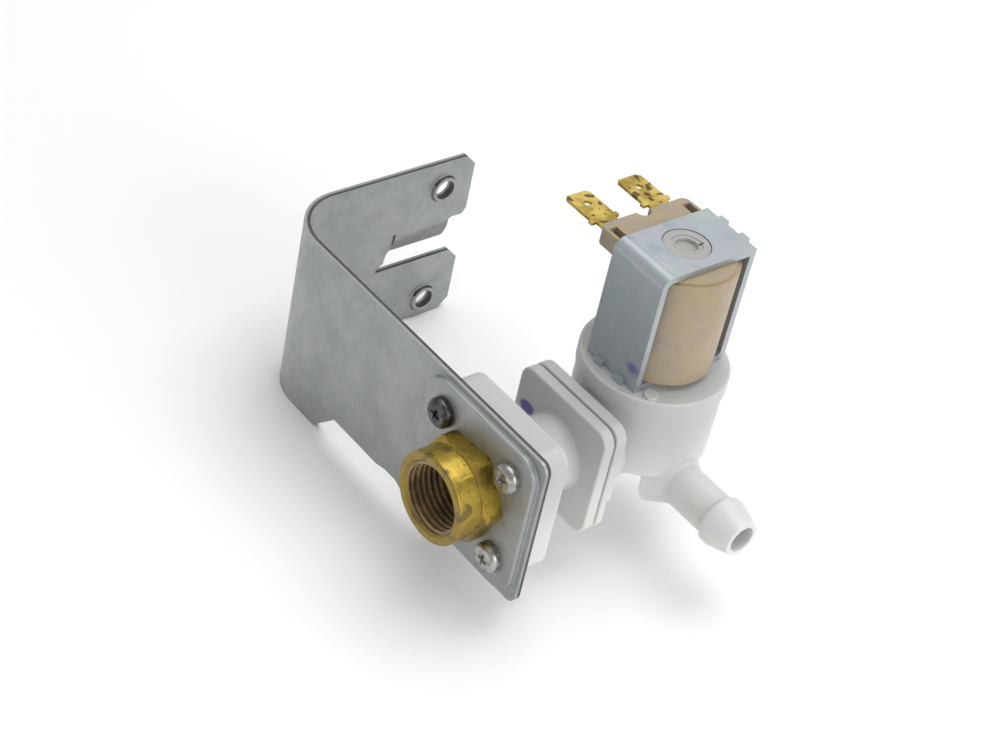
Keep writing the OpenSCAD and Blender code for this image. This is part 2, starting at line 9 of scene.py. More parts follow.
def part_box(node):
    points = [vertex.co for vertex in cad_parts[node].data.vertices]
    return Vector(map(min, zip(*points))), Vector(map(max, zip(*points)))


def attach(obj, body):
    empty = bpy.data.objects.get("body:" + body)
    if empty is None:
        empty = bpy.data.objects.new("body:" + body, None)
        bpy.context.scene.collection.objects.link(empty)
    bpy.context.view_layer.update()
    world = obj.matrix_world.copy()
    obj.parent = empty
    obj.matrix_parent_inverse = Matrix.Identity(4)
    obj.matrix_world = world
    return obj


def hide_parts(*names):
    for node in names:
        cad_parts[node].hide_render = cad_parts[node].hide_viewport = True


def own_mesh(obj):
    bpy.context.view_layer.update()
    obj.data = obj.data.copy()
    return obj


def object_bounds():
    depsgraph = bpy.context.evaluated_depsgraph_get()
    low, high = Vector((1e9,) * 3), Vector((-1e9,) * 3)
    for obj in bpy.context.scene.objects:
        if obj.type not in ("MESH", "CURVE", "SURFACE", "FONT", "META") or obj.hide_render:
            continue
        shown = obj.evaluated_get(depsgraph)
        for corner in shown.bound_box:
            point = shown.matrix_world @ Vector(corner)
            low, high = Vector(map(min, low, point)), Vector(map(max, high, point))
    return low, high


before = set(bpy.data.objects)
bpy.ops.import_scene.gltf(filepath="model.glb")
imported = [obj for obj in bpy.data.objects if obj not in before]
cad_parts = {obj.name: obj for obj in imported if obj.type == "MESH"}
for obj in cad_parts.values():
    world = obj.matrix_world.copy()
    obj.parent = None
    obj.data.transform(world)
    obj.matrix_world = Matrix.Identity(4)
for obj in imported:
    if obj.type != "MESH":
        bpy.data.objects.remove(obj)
cad_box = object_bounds()

MM = 0.001

# ---------------------------------------------------------------- sizes, some read off the CAD parts
screws_low, screws_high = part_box("bracket_screws")
bonnet_low, bonnet_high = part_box("bonnet")
yoke_low, yoke_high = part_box("yoke_upper")
lower_low, lower_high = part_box("yoke_lower")
adapter_low, adapter_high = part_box("inlet_adapter")

# The bent sheet and what it holds
sheet_thickness = 1.4 * MM
pad_rise = 1.4 * MM
pad_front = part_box("bracket")[0].y
plate_front = pad_front + pad_rise
side_outer = -75 * MM
side_inner = side_outer + sheet_thickness
bend_radius = 14 * MM
collar_radius = 3.4 * MM
collar_bore = 2.4 * MM
collar_height = 1 * MM
collar_levels = (11.6 * MM, -20.4 * MM)
head_radius = 3.4 * MM
head_height = pad_front - screws_low.y
screw_place = screws_high.x - head_radius

# The brass fitting
fitting_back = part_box("inlet_fitting")[1].y
thread_radius = 7.4 * MM
thread_depth = 0.85 * MM
thread_pitch = 25.4 / 18 * MM
nose_radius = 10.2 * MM
hex_flats = 20.6 * MM
hex_thickness = 4.4 * MM

# The plastic mouldings
block_depth = 10 * MM
flange_depth = 2.8 * MM
neck_radius = 8.4 * MM
valve_y = (bonnet_low.y + bonnet_high.y) / 2
body_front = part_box("valve_body")[0].y
body_underside = -3 * MM
rim_top = yoke_low.z
hub_top = bonnet_high.z

# The solenoid
strip_thickness = 1.6 * MM
coil_top = yoke_high.z - strip_thickness
drum_radius = 14 * MM
blade_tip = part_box("terminal_front")[0].x

SAME_PLANE = 0.01 * MM


# ---------------------------------------------------------------- camera
def add_camera():
    data = bpy.data.cameras.new("camera")
    data.lens = 84.5
    data.sensor_width = 36
    data.clip_start = 0.01
    camera = bpy.data.objects.new("camera", data)
    bpy.context.scene.collection.objects.link(camera)
    turn = (
        Matrix.Rotation(math.radians(43.71), 4, "Z")
        @ Matrix.Rotation(math.radians(90 - 38.67), 4, "X")
        @ Matrix.Rotation(math.radians(13), 4, "Z")
    )
    camera.matrix_world = Matrix.Translation((0.2439, -0.2455, 0.3118)) @ turn
    bpy.context.scene.camera = camera


add_camera()


# ---------------------------------------------------------------- modelling helpers
def deselect():
    """Leaves edit mode, with nothing selected."""
    if bpy.context.object and bpy.context.object.mode != "OBJECT":
        bpy.ops.object.mode_set(mode="OBJECT")
    bpy.ops.object.select_all(action="DESELECT")


def take(piece):
    """Selects one piece only and makes it the active one."""
    deselect()
    piece.select_set(True)
    bpy.context.view_layer.objects.active = piece


def edit(piece, kind="EDGE"):
    """Opens one piece in edit mode, with nothing in it selected."""
    take(piece)
    bpy.ops.object.mode_set(mode="EDIT")
    bpy.ops.mesh.select_mode(type=kind)
    bpy.ops.mesh.select_all(action="DESELECT")


def leave_edit():
    bpy.ops.object.mode_set(mode="OBJECT")


def level(value, plane):
    return abs(value - plane) < SAME_PLANE


def pick_edges(piece, test, angle=30):
    """In edit mode: selects the sharp edges whose two ends both pass the test."""
    mesh = bmesh.from_edit_mesh(piece.data)
    for line in mesh.edges:
        sharp = line.calc_face_angle(0) > math.radians(angle)
        if sharp and all(test(v.co) for v in line.verts):
            line.select_set(True)
    bmesh.update_edit_mesh(piece.data)


def pick_faces(piece, test):
    """In edit mode: selects the faces whose middle and normal pass the test."""
    mesh = bmesh.from_edit_mesh(piece.data)
    for face in mesh.faces:
        if test(face.calc_center_median(), face.normal):
            face.select_set(True)
    bmesh.update_edit_mesh(piece.data)


def round_edges(piece, test, width, segments=3, angle=30):
    """Bevels the sharp edges whose two ends pass the test."""
    edit(piece)
    pick_edges(piece, test, angle)
    bpy.ops.mesh.bevel(offset=width, segments=segments, clamp_overlap=True)
    leave_edit()


def soften(piece, width, segments=2, angle=40):
    """Breaks every sharp edge that is left, and shades the piece with its flats flat."""
    take(piece)
    rounding = piece.modifiers.new("soften", "BEVEL")
    rounding.width = width
    rounding.segments = segments
    rounding.limit_method = "ANGLE"
    rounding.angle_limit = math.radians(angle)
    rounding.use_clamp_overlap = True
    bpy.ops.object.modifier_apply(modifier="soften")
    bpy.ops.object.shade_smooth_by_angle(angle=math.radians(35))
    flats = piece.modifiers.new("flats", "WEIGHTED_NORMAL")
    flats.keep_sharp = True
    flats.weight = 90
    bpy.ops.object.modifier_apply(modifier="flats")


def worked_copy(node, name):
    """A mesh of its own in the CAD node's place, with its triangles merged to faces."""
    piece = bpy.data.objects.new(name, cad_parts[node].data.copy())
    bpy.context.scene.collection.objects.link(piece)
    piece.data.materials.clear()
    edit(piece, "VERT")
    bpy.ops.mesh.select_all(action="SELECT")
    bpy.ops.mesh.remove_doubles(threshold=0.002 * MM)
    bpy.ops.mesh.dissolve_limited(angle_limit=math.radians(0.8))
    leave_edit()
    return piece


def slice_loop(piece, at, normal):
    """Cuts a line of edges round the piece where a plane crosses it."""
    edit(piece)
    bpy.ops.mesh.select_all(action="SELECT")
    bpy.ops.mesh.bisect(plane_co=at, plane_no=normal)
    leave_edit()


def combine(piece, other, operation):
    """Joins, cuts or trims the piece with another, which is used up."""
    take(piece)
    step = piece.modifiers.new("combine", "BOOLEAN")
    step.operation = operation
    step.solver = "EXACT"
    step.object = other
    bpy.ops.object.modifier_apply(modifier="combine")
    bpy.data.objects.remove(other)


def rod(radius, length, centre, axis="Z", sides=96, name="rod"):
    """A round bar along an axis, as a start or a cutter."""
    turns = {"X": (0, math.pi / 2, 0), "Y": (math.pi / 2, 0, 0), "Z": (0, 0, 0)}
    deselect()
    bpy.ops.mesh.primitive_cylinder_add(
        vertices=sides, radius=radius, depth=length, location=centre, rotation=turns[axis]
    )
    settle(bpy.context.object)
    bpy.context.object.name = name
    return bpy.context.object


def block(size, centre):
    """A box, as a cutter."""
    deselect()
    bpy.ops.mesh.primitive_cube_add(size=1, location=centre, scale=size)
    settle(bpy.context.object)
    return bpy.context.object


def settle(piece):
    """Moves the piece's place and turn into its mesh."""
    take(piece)
    bpy.ops.object.transform_apply(location=True, rotation=True, scale=True)


def face_outwards(piece):
    """Merges the doubles and turns every face outwards."""
    edit(piece, "FACE")
    bpy.ops.mesh.select_all(action="SELECT")
    bpy.ops.mesh.remove_doubles(threshold=0.001 * MM)
    bpy.ops.mesh.normals_make_consistent(inside=False)
    leave_edit()


def place(piece, material, node=None, body="valve"):
    """Gives a finished piece its material and its body, and hides the CAD node it stands for."""
    if not piece.data.materials:
        piece.data.materials.append(material)
    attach(piece, body)
    if node:
        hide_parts(node)


# ---------------------------------------------------------------- material helpers
def new_material(name, metallic, roughness):
    material = bpy.data.materials.new(name)
    material.use_nodes = True
    shader = material.node_tree.nodes["Principled BSDF"]
    shader.inputs["Metallic"].default_value = metallic
    shader.inputs["Roughness"].default_value = roughness
    return material, shader


def add_node(material, kind, **values):
    node = material.node_tree.nodes.new(kind)
    for key, value in values.items():
        setattr(node, key, value)
    return node


def wire(material, source, target):
    material.node_tree.links.new(source, target)


def object_point(material, shift=(0, 0, 0), stretch=(1, 1, 1)):
    """Object coordinates, moved and stretched, for every pattern of a material."""
    coordinates = add_node(material, "ShaderNodeTexCoord")
    mapping = add_node(material, "ShaderNodeMapping")
    mapping.inputs["Location"].default_value = shift
    mapping.inputs["Scale"].default_value = stretch
    wire(material, coordinates.outputs["Object"], mapping.inputs["Vector"])
    return mapping.outputs["Vector"]


def clouds(material, size, point=None, detail=4, roughness=0.55):
    """Soft noise whose patches are about size across; gives its 0 to 1 socket."""
    noise = add_node(material, "ShaderNodeTexNoise")
    noise.inputs["Scale"].default_value = 1 / size
    noise.inputs["Detail"].default_value = detail
    noise.inputs["Roughness"].default_value = roughness
    wire(material, point or object_point(material), noise.inputs["Vector"])
    return noise.outputs["Fac"]


def spread(material, value, low, high, to_low=0.0, to_high=1.0):
    """Stretches the band from low to high of a value over another range."""
    band = add_node(material, "ShaderNodeMapRange", interpolation_type="SMOOTHSTEP")
    band.inputs["From Min"].default_value = low
    band.inputs["From Max"].default_value = high
    band.inputs["To Min"].default_value = to_low
    band.inputs["To Max"].default_value = to_high
    wire(material, value, band.inputs["Value"])
    return band.outputs["Result"]


def mix_colour(material, factor, first, second):
    """Goes from the first colour to the second as the factor goes from 0 to 1."""
    mixer = add_node(material, "ShaderNodeMix", data_type="RGBA")
    wire(material, factor, mixer.inputs["Factor"])
    for socket, colour in ((mixer.inputs[6], first), (mixer.inputs[7], second)):
        if isinstance(colour, tuple):
            socket.default_value = (*colour, 1)
        else:
            wire(material, colour, socket)
    return mixer.outputs[2]


def relief(material, shader, height, depth):
    """Presses a 0 to 1 pattern into the surface, to a depth in metres."""
    bump = add_node(material, "ShaderNodeBump")
    bump.inputs["Distance"].default_value = depth
    bump.inputs["Strength"].default_value = 1
    wire(material, height, bump.inputs["Height"])
    wire(material, bump.outputs["Normal"], shader.inputs["Normal"])


def share(material, pattern, part):
    """A 0 to 1 pattern times a number or another pattern."""
    node = add_node(material, "ShaderNodeMath", operation="MULTIPLY", use_clamp=True)
    wire(material, pattern, node.inputs[0])
    if isinstance(part, float):
        node.inputs[1].default_value = part
    else:
        wire(material, part, node.inputs[1])
    return node.outputs[0]


def split_place(material):
    """The X, Y and Z of a point in object coordinates, as the outputs of one node."""
    coordinates = add_node(material, "ShaderNodeTexCoord")
    parts = add_node(material, "ShaderNodeSeparateXYZ")
    wire(material, coordinates.outputs["Object"], parts.inputs["Vector"])
    return parts.outputs


def near(material, centre, inner, outer, stretch=(1, 1, 1)):
    """1 inside a ball round a point, falling to 0 at its outer radius; stretch flattens it."""
    coordinates = add_node(material, "ShaderNodeTexCoord")
    offset = add_node(material, "ShaderNodeVectorMath", operation="SUBTRACT")
    offset.inputs[1].default_value = centre
    wire(material, coordinates.outputs["Object"], offset.inputs[0])
    scaled = add_node(material, "ShaderNodeVectorMath", operation="MULTIPLY")
    scaled.inputs[1].default_value = stretch
    wire(material, offset.outputs[0], scaled.inputs[0])
    length = add_node(material, "ShaderNodeVectorMath", operation="LENGTH")
    wire(material, scaled.outputs[0], length.inputs[0])
    return spread(material, length.outputs["Value"], inner, outer, 1.0, 0.0)


# ---------------------------------------------------------------- materials
def galvanised_sheet(name):
    """Dull zinc coating: faint spangle, smudges, a brown tinge near the brass, painted shade on the
    curled lip.
    """
    material, shader = new_material(name, 0.72, 0.46)
    patches = clouds(material, 9 * MM, detail=5)
    smudges = clouds(material, 2.2 * MM, detail=6, roughness=0.7)
    low, high = (0.33, 0.345, 0.345), (0.405, 0.42, 0.42)
    colour = mix_colour(material, spread(material, patches, 0.3, 0.7), low, high)
    fine = spread(material, smudges, 0.35, 0.7)
    colour = mix_colour(material, share(material, fine, 0.35), colour, low)
    tinge = near(material, (0.002, pad_front, 0.001), 10 * MM, 17 * MM)
    patchy = spread(material, clouds(material, 5 * MM, detail=3), 0.38, 0.62)
    tinge = share(material, tinge, patchy)
    tinge = share(material, tinge, 0.55)
    colour = mix_colour(material, tinge, colour, (0.30, 0.24, 0.13))
    # Painted shade: darkens the curled lip under the upper ear, whose face turns down, away from the
    # light.
    lip_centre = (side_inner, valve_y + 0.3 * MM, -2.2 * MM)
    lip = near(material, lip_centre, 2.2 * MM, 4.4 * MM, (1, 0.24, 1))
    colour = mix_colour(material, share(material, lip, 0.5), colour, (0.12, 0.125, 0.125))
    wire(material, colour, shader.inputs["Base Color"])
    rough = spread(material, smudges, 0.25, 0.75, 0.4, 0.58)
    wire(material, rough, shader.inputs["Roughness"])
    relief(material, shader, clouds(material, 0.5 * MM, detail=3), 0.006 * MM)
    return material


def depth_in_sheet(material):
    """How far a point lies behind the bracket's outer face, all round the bend."""
    parts = split_place(material)
    away = add_node(material, "ShaderNodeCombineXYZ")
    corner = (side_outer + bend_radius, plate_front + bend_radius)
    for axis, centre in zip("XY", corner):
        gap = add_node(material, "ShaderNodeMath", operation="SUBTRACT")
        gap.inputs[0].default_value = centre
        wire(material, parts[axis], gap.inputs[1])
        kept = add_node(material, "ShaderNodeMath", operation="MAXIMUM")
        wire(material, gap.outputs[0], kept.inputs[0])
        kept.inputs[1].default_value = 0
        wire(material, kept.outputs[0], away.inputs[axis])
    reach = add_node(material, "ShaderNodeVectorMath", operation="LENGTH")
    wire(material, away.outputs[0], reach.inputs[0])
    depth = add_node(material, "ShaderNodeMath", operation="SUBTRACT")
    depth.inputs[0].default_value = bend_radius
    wire(material, reach.outputs["Value"], depth.inputs[1])
    return depth.outputs[0]


def sheared_edge(name):
    """The sheet's cut edge: rolled over and bright outside, darkened inside with painted shade."""
    material, shader = new_material(name, 0.7, 0.45)
    marks = clouds(material, 1.2 * MM, detail=5, roughness=0.7)
    # Painted shade: the cut edge goes near black the further it lies from the outer face.
    depth = spread(material, depth_in_sheet(material), 0.5 * MM, 0.85 * MM)
    colour = mix_colour(material, depth, (0.36, 0.37, 0.37), (0.075, 0.08, 0.08))
    worn = share(material, spread(material, marks, 0.45, 0.75), 0.4)
    colour = mix_colour(material, worn, colour, (0.2, 0.21, 0.21))
    wire(material, colour, shader.inputs["Base Color"])
    wire(material, spread(material, marks, 0.3, 0.7, 0.38, 0.6), shader.inputs["Roughness"])
    relief(material, shader, marks, 0.02 * MM)
    return material


def tarnished_brass(name, dark=False):
    """Olive-yellow brass with brown stains; the dark one is for threads and grooves."""
    material, shader = new_material(name, 0.55 if dark else 0.8, 0.36)
    stains = clouds(material, 4.5 * MM, detail=5, roughness=0.6)
    flecks = clouds(material, 1.1 * MM, detail=4, roughness=0.7)
    if dark:
        colour = mix_colour(
            material, spread(material, stains, 0.35, 0.65), (0.24, 0.165, 0.09), (0.47, 0.34, 0.17)
        )
    else:
        colour = mix_colour(
            material, spread(material, stains, 0.3, 0.6), (0.27, 0.185, 0.035), (0.44, 0.315, 0.045)
        )
        brown = share(material, spread(material, stains, 0.52, 0.62), 0.8)
        colour = mix_colour(material, brown, colour, (0.13, 0.085, 0.035))
        spots = share(material, spread(material, flecks, 0.62, 0.68), 0.85)
        colour = mix_colour(material, spots, colour, (0.10, 0.065, 0.03))
        rim = near(material, (0, 0, 0), 9.4 * MM, 11.4 * MM, (1, 4, 1))
        rim = share(material, rim, spread(material, stains, 0.36, 0.56))
        rim = share(material, rim, 0.6)
        colour = mix_colour(material, rim, colour, (0.20, 0.14, 0.07))
    wire(material, colour, shader.inputs["Base Color"])
    wire(material, spread(material, flecks, 0.3, 0.7, 0.28, 0.5), shader.inputs["Roughness"])
    relief(material, shader, flecks, 0.012 * MM)
    return material


def terminal_brass(name):
    """Stamped brass strip with dark spots from soldering and handling."""
    material, shader = new_material(name, 0.8, 0.36)
    patches = clouds(material, 3 * MM, detail=3)
    blots = clouds(material, 2.3 * MM, point=object_point(material, (0.01, 0.02, 0)), detail=1)
    colour = mix_colour(
        material, spread(material, patches, 0.35, 0.65), (0.46, 0.33, 0.07), (0.68, 0.52, 0.14)
    )
    blot = share(material, spread(material, blots, 0.58, 0.63), 0.85)
    colour = mix_colour(material, blot, colour, (0.075, 0.05, 0.025))
    wire(material, colour, shader.inputs["Base Color"])
    wire(material, spread(material, patches, 0.3, 0.7, 0.3, 0.48), shader.inputs["Roughness"])
    relief(material, shader, clouds(material, 0.4 * MM, detail=3), 0.006 * MM)
    return material


def natural_plastic(name):
    """Milky, slightly translucent polypropylene with faint warm zones, and painted shade greying it
    towards the top.
    """
    material, shader = new_material(name, 0.0, 0.34)
    zones = clouds(material, 14 * MM, detail=2)
    colour = mix_colour(
        material, spread(material, zones, 0.42, 0.7), (0.68, 0.685, 0.685), (0.69, 0.675, 0.635)
    )
    # Painted shade: the plastic turns greyer the higher it lies, from 9 mm below to 11 mm above.
    top_painted_shade = spread(material, split_place(material)["Z"], -9 * MM, 11 * MM)
    colour = mix_colour(material, top_painted_shade, colour, (0.50, 0.505, 0.505))
    wire(material, colour, shader.inputs["Base Color"])
    shader.inputs["Subsurface Weight"].default_value = 0.55
    shader.inputs["Subsurface Radius"].default_value = (1.0, 0.95, 0.9)
    shader.inputs["Subsurface Scale"].default_value = 2.2 * MM
    shader.inputs["IOR"].default_value = 1.49
    haze = clouds(material, 3 * MM, detail=4)
    wire(material, spread(material, haze, 0.3, 0.7, 0.3, 0.42), shader.inputs["Roughness"])
    relief(material, shader, clouds(material, 0.9 * MM, detail=3), 0.008 * MM)
    return material


def marked_plastic(name):
    """The adapter's plastic, with a purple ink dab on the flange's inlet side."""
    material = natural_plastic(name)
    shader = material.node_tree.nodes["Principled BSDF"]
    base = shader.inputs["Base Color"].links[0].from_socket
    centre = (-9.9 * MM, adapter_high.y - flange_depth, 4.2 * MM)
    dab = near(material, centre, 1.3 * MM, 2.2 * MM, (0.75, 1, 1.2))
    colour = mix_colour(material, share(material, dab, 0.9), base, (0.10, 0.04, 0.3))
    wire(material, colour, shader.inputs["Base Color"])
    return material


def bonnet_plastic(name):
    """The bonnet's plastic, with painted shade greying the top of its thin hub inside the yoke's
    hole.
    """
    material = natural_plastic(name)
    shader = material.node_tree.nodes["Principled BSDF"]
    base = shader.inputs["Base Color"].links[0].from_socket
    # Painted shade: a grey disc on the hub's top, inside the yoke's hole.
    centre = (0, valve_y, hub_top)
    hub = near(material, centre, 5.6 * MM, 6.4 * MM)
    colour = mix_colour(material, share(material, hub, 0.9), base, (0.36, 0.36, 0.345))
    wire(material, colour, shader.inputs["Base Color"])
    return material


def bright_zinc(name):
    """Passivated zinc with drifting blue, lilac and green tints, and one blue ink spot."""
    material, shader = new_material(name, 0.78, 0.42)
    drift = clouds(material, 7 * MM, detail=2)
    ramp = add_node(material, "ShaderNodeValToRGB")
    tints = (
        (0.30, (0.36, 0.44, 0.48)),
        (0.42, (0.45, 0.48, 0.51)),
        (0.50, (0.44, 0.45, 0.50)),
        (0.58, (0.41, 0.47, 0.48)),
        (0.70, (0.47, 0.49, 0.50)),
    )
    stops = ramp.color_ramp.elements
    while len(stops) < len(tints):
        stops.new(0.5)
    for stop, (position, tint) in zip(stops, tints):
        stop.position = position
        stop.color = (*tint, 1)
    wire(material, drift, ramp.inputs["Fac"])
    rub = spread(material, clouds(material, 1.4 * MM, detail=6, roughness=0.7), 0.5, 0.8)
    colour = mix_colour(
        material, share(material, rub, 0.3), ramp.outputs["Color"], (0.4, 0.42, 0.42)
    )
    spot = near(material, (5.6 * MM, yoke_low.y, 22.4 * MM), 0.4 * MM, 2.4 * MM, (0.8, 1, 1.3))
    colour = mix_colour(material, share(material, spot, 0.7), colour, (0.12, 0.12, 0.34))
    wire(material, colour, shader.inputs["Base Color"])
    wire(material, spread(material, drift, 0.3, 0.7, 0.38, 0.48), shader.inputs["Roughness"])
    relief(material, shader, clouds(material, 0.7 * MM, detail=4), 0.006 * MM)
    return material


def zinc_screw(name, dark=False):
    """Plated steel screw: bright with a brown tint, or dulled to dark grey."""
    material, shader = new_material(name, 0.9, 0.3)
    patches = clouds(material, 1.6 * MM, detail=4)
    if dark:
        low, high = (0.055, 0.055, 0.055), (0.14, 0.14, 0.135)
    else:
        low, high = (0.30, 0.29, 0.265), (0.52, 0.52, 0.51)
    colour = mix_colour(material, spread(material, patches, 0.38, 0.66), low, high)
    wire(material, colour, shader.inputs["Base Color"])
    wire(material, spread(material, patches, 0.3, 0.7, 0.24, 0.42), shader.inputs["Roughness"])
    relief(material, shader, clouds(material, 0.35 * MM, detail=3), 0.008 * MM)
    return material


def coil_moulding(name):
    """Beige glass-filled moulding with greyish and yellowish blotches."""
    material, shader = new_material(name, 0.0, 0.44)
    blotches = clouds(material, 8 * MM, detail=3)
    colour = mix_colour(
        material, spread(material, blotches, 0.36, 0.6), (0.31, 0.262, 0.215), (0.37, 0.295, 0.195)
    )
    yellow = clouds(material, 10 * MM, point=object_point(material, (0.03, 0.01, 0.02)), detail=2)
    yellow = share(material, spread(material, yellow, 0.5, 0.64), 0.5)
    colour = mix_colour(material, yellow, colour, (0.36, 0.285, 0.145))
    grain = clouds(material, 0.6 * MM, detail=5)
    colour = mix_colour(
        material, share(material, spread(material, grain, 0.5, 0.8), 0.2),
        colour, (0.26, 0.215, 0.155),
    )
    wire(material, colour, shader.inputs["Base Color"])
    shader.inputs["Subsurface Weight"].default_value = 0.08
    shader.inputs["Subsurface Scale"].default_value = 0.6 * MM
    wire(material, spread(material, grain, 0.3, 0.7, 0.38, 0.52), shader.inputs["Roughness"])
    relief(material, shader, grain, 0.008 * MM)
    return material


def plain_finish(name, low, high, metallic, roughness, size, stretch=(1, 1, 1)):
    """A mottled finish for the pieces inside: two near colours and a fine grain."""
    material, shader = new_material(name, metallic, roughness)
    grain = clouds(material, size, point=object_point(material, stretch=stretch))
    colour = mix_colour(material, spread(material, grain, 0.35, 0.65), low, high)
    wire(material, colour, shader.inputs["Base Color"])
    relief(material, shader, grain, 0.01 * MM)
    return material


SHEET = galvanised_sheet("galvanised_sheet")
SHEARED = sheared_edge("sheared_edge")
BRASS = tarnished_brass("tarnished_brass")
BRASS_DARK = tarnished_brass("stained_thread", dark=True)
BLADE = terminal_brass("terminal_brass")
PLASTIC = natural_plastic("natural_plastic")
MARKED = marked_plastic("marked_plastic")
HUB = bonnet_plastic("bonnet_plastic")
ZINC = bright_zinc("bright_zinc")
SCREW = zinc_screw("zinc_screw")
SCREW_DARK = zinc_screw("dull_screw", dark=True)
MOULDING = coil_moulding("coil_moulding")
RUBBER = plain_finish("black_rubber", (0.018, 0.018, 0.018), (0.035, 0.035, 0.034), 0, 0.6, 0.8 * MM)
SILICONE = plain_finish("milky_silicone", (0.60, 0.60, 0.585), (0.67, 0.67, 0.655), 0, 0.5, 1.5 * MM)
STEEL = plain_finish("ground_steel", (0.42, 0.42, 0.43), (0.56, 0.56, 0.57), 0.95, 0.32,
                     1.2 * MM, (1, 1, 12))
COPPER = plain_finish("enamelled_copper", (0.42, 0.14, 0.05), (0.58, 0.22, 0.09), 0.9, 0.3,
                      0.4 * MM, (0.2, 0.2, 4))
MESH = plain_finish("stainless_mesh", (0.22, 0.22, 0.23), (0.55, 0.55, 0.56), 0.9, 0.4, 0.25 * MM)
SPRING = plain_finish("spring_steel", (0.35, 0.35, 0.36), (0.5, 0.5, 0.5), 0.95, 0.3, 0.5 * MM)


# ---------------------------------------------------------------- bracket
def is_sheared(centre, normal):
    """True for the narrow faces that the shears left round the sheet's outline."""
    if centre.x < side_inner + 0.1 * MM and centre.y > plate_front + bend_radius:
        return abs(normal.x) < 0.5
    if centre.x > side_outer + bend_radius:
        return abs(normal.y) < 0.5 and centre.y > plate_front
    return abs(normal.z) > 0.5


def on_pad_outline(y):
    """A test for points on the raised pad's outline at one depth."""
    def test(co):
        reach = max(abs(co.x), abs(co.z))
        return level(co.y, y) and 15 * MM < reach < 18.2 * MM
    return test


def on_collar(x, radius):
    """A test for points on one circle of the collars drawn round the two foot holes."""
    def test(co):
        return level(co.x, x) and any(
            abs(math.hypot(co.y - valve_y, co.z - z) - radius) < 0.06 * MM for z in collar_levels
        )
    return test


def make_bracket():
    piece = worked_copy("bracket", "bracket_sheet")
    piece.data.materials.append(SHEET)
    piece.data.materials.append(SHEARED)
    for face in piece.data.polygons:
        if is_sheared(face.center, face.normal):
            face.material_index = 1
    round_edges(piece, on_pad_outline(pad_front), 0.5 * MM, 4)
    round_edges(piece, on_pad_outline(plate_front), 0.35 * MM, 3)
    collar_top = side_inner + collar_height
    round_edges(piece, on_collar(collar_top, collar_radius), 0.4 * MM, 4)
    round_edges(piece, on_collar(collar_top, collar_bore), 0.25 * MM, 3)
    round_edges(piece, on_collar(side_inner, collar_radius), 0.5 * MM, 4)
    soften(piece, 0.14 * MM, 2)
    place(piece, SHEET, "bracket")


# ---------------------------------------------------------------- brass inlet fitting
def thread_cutter():
    """The space inside a V thread: one groove swept round and round, then cut flush."""
    root = thread_radius + thread_depth
    profile = ((0.0, thread_radius), (0.14, thread_radius), (0.44, root), (0.58, root),
               (0.88, thread_radius), (1.0, thread_radius))
    deselect()
    bpy.ops.mesh.primitive_plane_add(size=MM)
    cutter = bpy.context.object
    edit(cutter, "VERT")
    mesh = bmesh.from_edit_mesh(cutter.data)
    bmesh.ops.delete(mesh, geom=mesh.faces[:] + mesh.edges[:] + mesh.verts[:], context="VERTS")
    points = [mesh.verts.new((radius, 0, part * thread_pitch)) for part, radius in profile]
    for first, second in zip(points, points[1:]):
        mesh.edges.new((first, second))
    bmesh.update_edit_mesh(cutter.data)
    leave_edit()
    take(cutter)
    sweep = cutter.modifiers.new("sweep", "SCREW")
    sweep.axis = "Z"
    sweep.screw_offset = thread_pitch
    sweep.iterations = 10
    sweep.steps = 72
    sweep.render_steps = 72
    sweep.use_merge_vertices = True
    sweep.merge_threshold = 0.001 * MM
    sweep.use_smooth_shade = False
    bpy.ops.object.modifier_apply(modifier="sweep")
    face_outwards(cutter)
    for turns, outward in ((1.6, -1), (9.3, 1)):
        edit(cutter)
        bpy.ops.mesh.select_all(action="SELECT")
        bpy.ops.mesh.bisect(plane_co=(0, 0, turns * thread_pitch), plane_no=(0, 0, outward),
                            use_fill=True, clear_outer=True)
        leave_edit()
    cutter.rotation_euler = (-math.pi / 2, 0, 0)
    cutter.location = (0, -2.1 * thread_pitch, 0)
    settle(cutter)
    face_outwards(cutter)
    return cutter


def make_hexagon():
    """Hexagon whose front corners are turned away, leaving a crescent on each flat."""
    middle = (0, pad_front - hex_thickness / 2, 0)
    hexagon = rod(hex_flats / math.sqrt(3), hex_thickness, middle, "Y", 6, "hexagon")
    take(hexagon)
    hexagon.rotation_euler = (0, math.radians(25), 0)
    settle(hexagon)
    turned = rod(11.5 * MM, hex_thickness, middle, "Y", 128, "turned")
    front = pad_front - hex_thickness
    round_edges(turned, lambda co: level(co.y, front), 1.1 * MM, 1)
    combine(hexagon, turned, "INTERSECT")
    return hexagon


def make_fitting():
    """Turned nose, hexagon and spigot in one piece, with a cut thread in the mouth."""
    nose = pad_front - 0.5 * MM
    piece = rod(nose_radius, nose, (0, nose / 2, 0), "Y", 128, "brass_fitting")
    round_edges(piece, lambda co: co.y < SAME_PLANE, 0.6 * MM, 4)
    combine(piece, make_hexagon(), "UNION")
    spigot_front = 8 * MM
    spigot = rod(9 * MM, fitting_back - spigot_front, (0, (fitting_back + spigot_front) / 2, 0), "Y")
    combine(piece, spigot, "UNION")
    piece.data.materials.clear()
    piece.data.materials.append(BRASS)
    piece.data.materials.append(BRASS_DARK)
    waterway = rod(5.6 * MM, fitting_back * 3, (0, fitting_back, 0), "Y")
    combine(piece, waterway, "DIFFERENCE")
    combine(piece, thread_cutter(), "DIFFERENCE")
    lead_in = rod(thread_radius + 1.0 * MM, 1.2 * MM, (0, 0, 0), "Y")
    round_edges(lead_in, lambda co: co.y > 0, 0.6 * MM, 1)
    combine(piece, lead_in, "DIFFERENCE")
    soften(piece, 0.12 * MM, 2, 50)
    for face in piece.data.polygons:
        across = math.hypot(face.center.x, face.center.z)
        in_bore = across < thread_radius + thread_depth + 0.1 * MM
        face.material_index = int(in_bore and 0.5 * MM < face.center.y < pad_front + 9 * MM)
    place(piece, BRASS, "inlet_fitting")


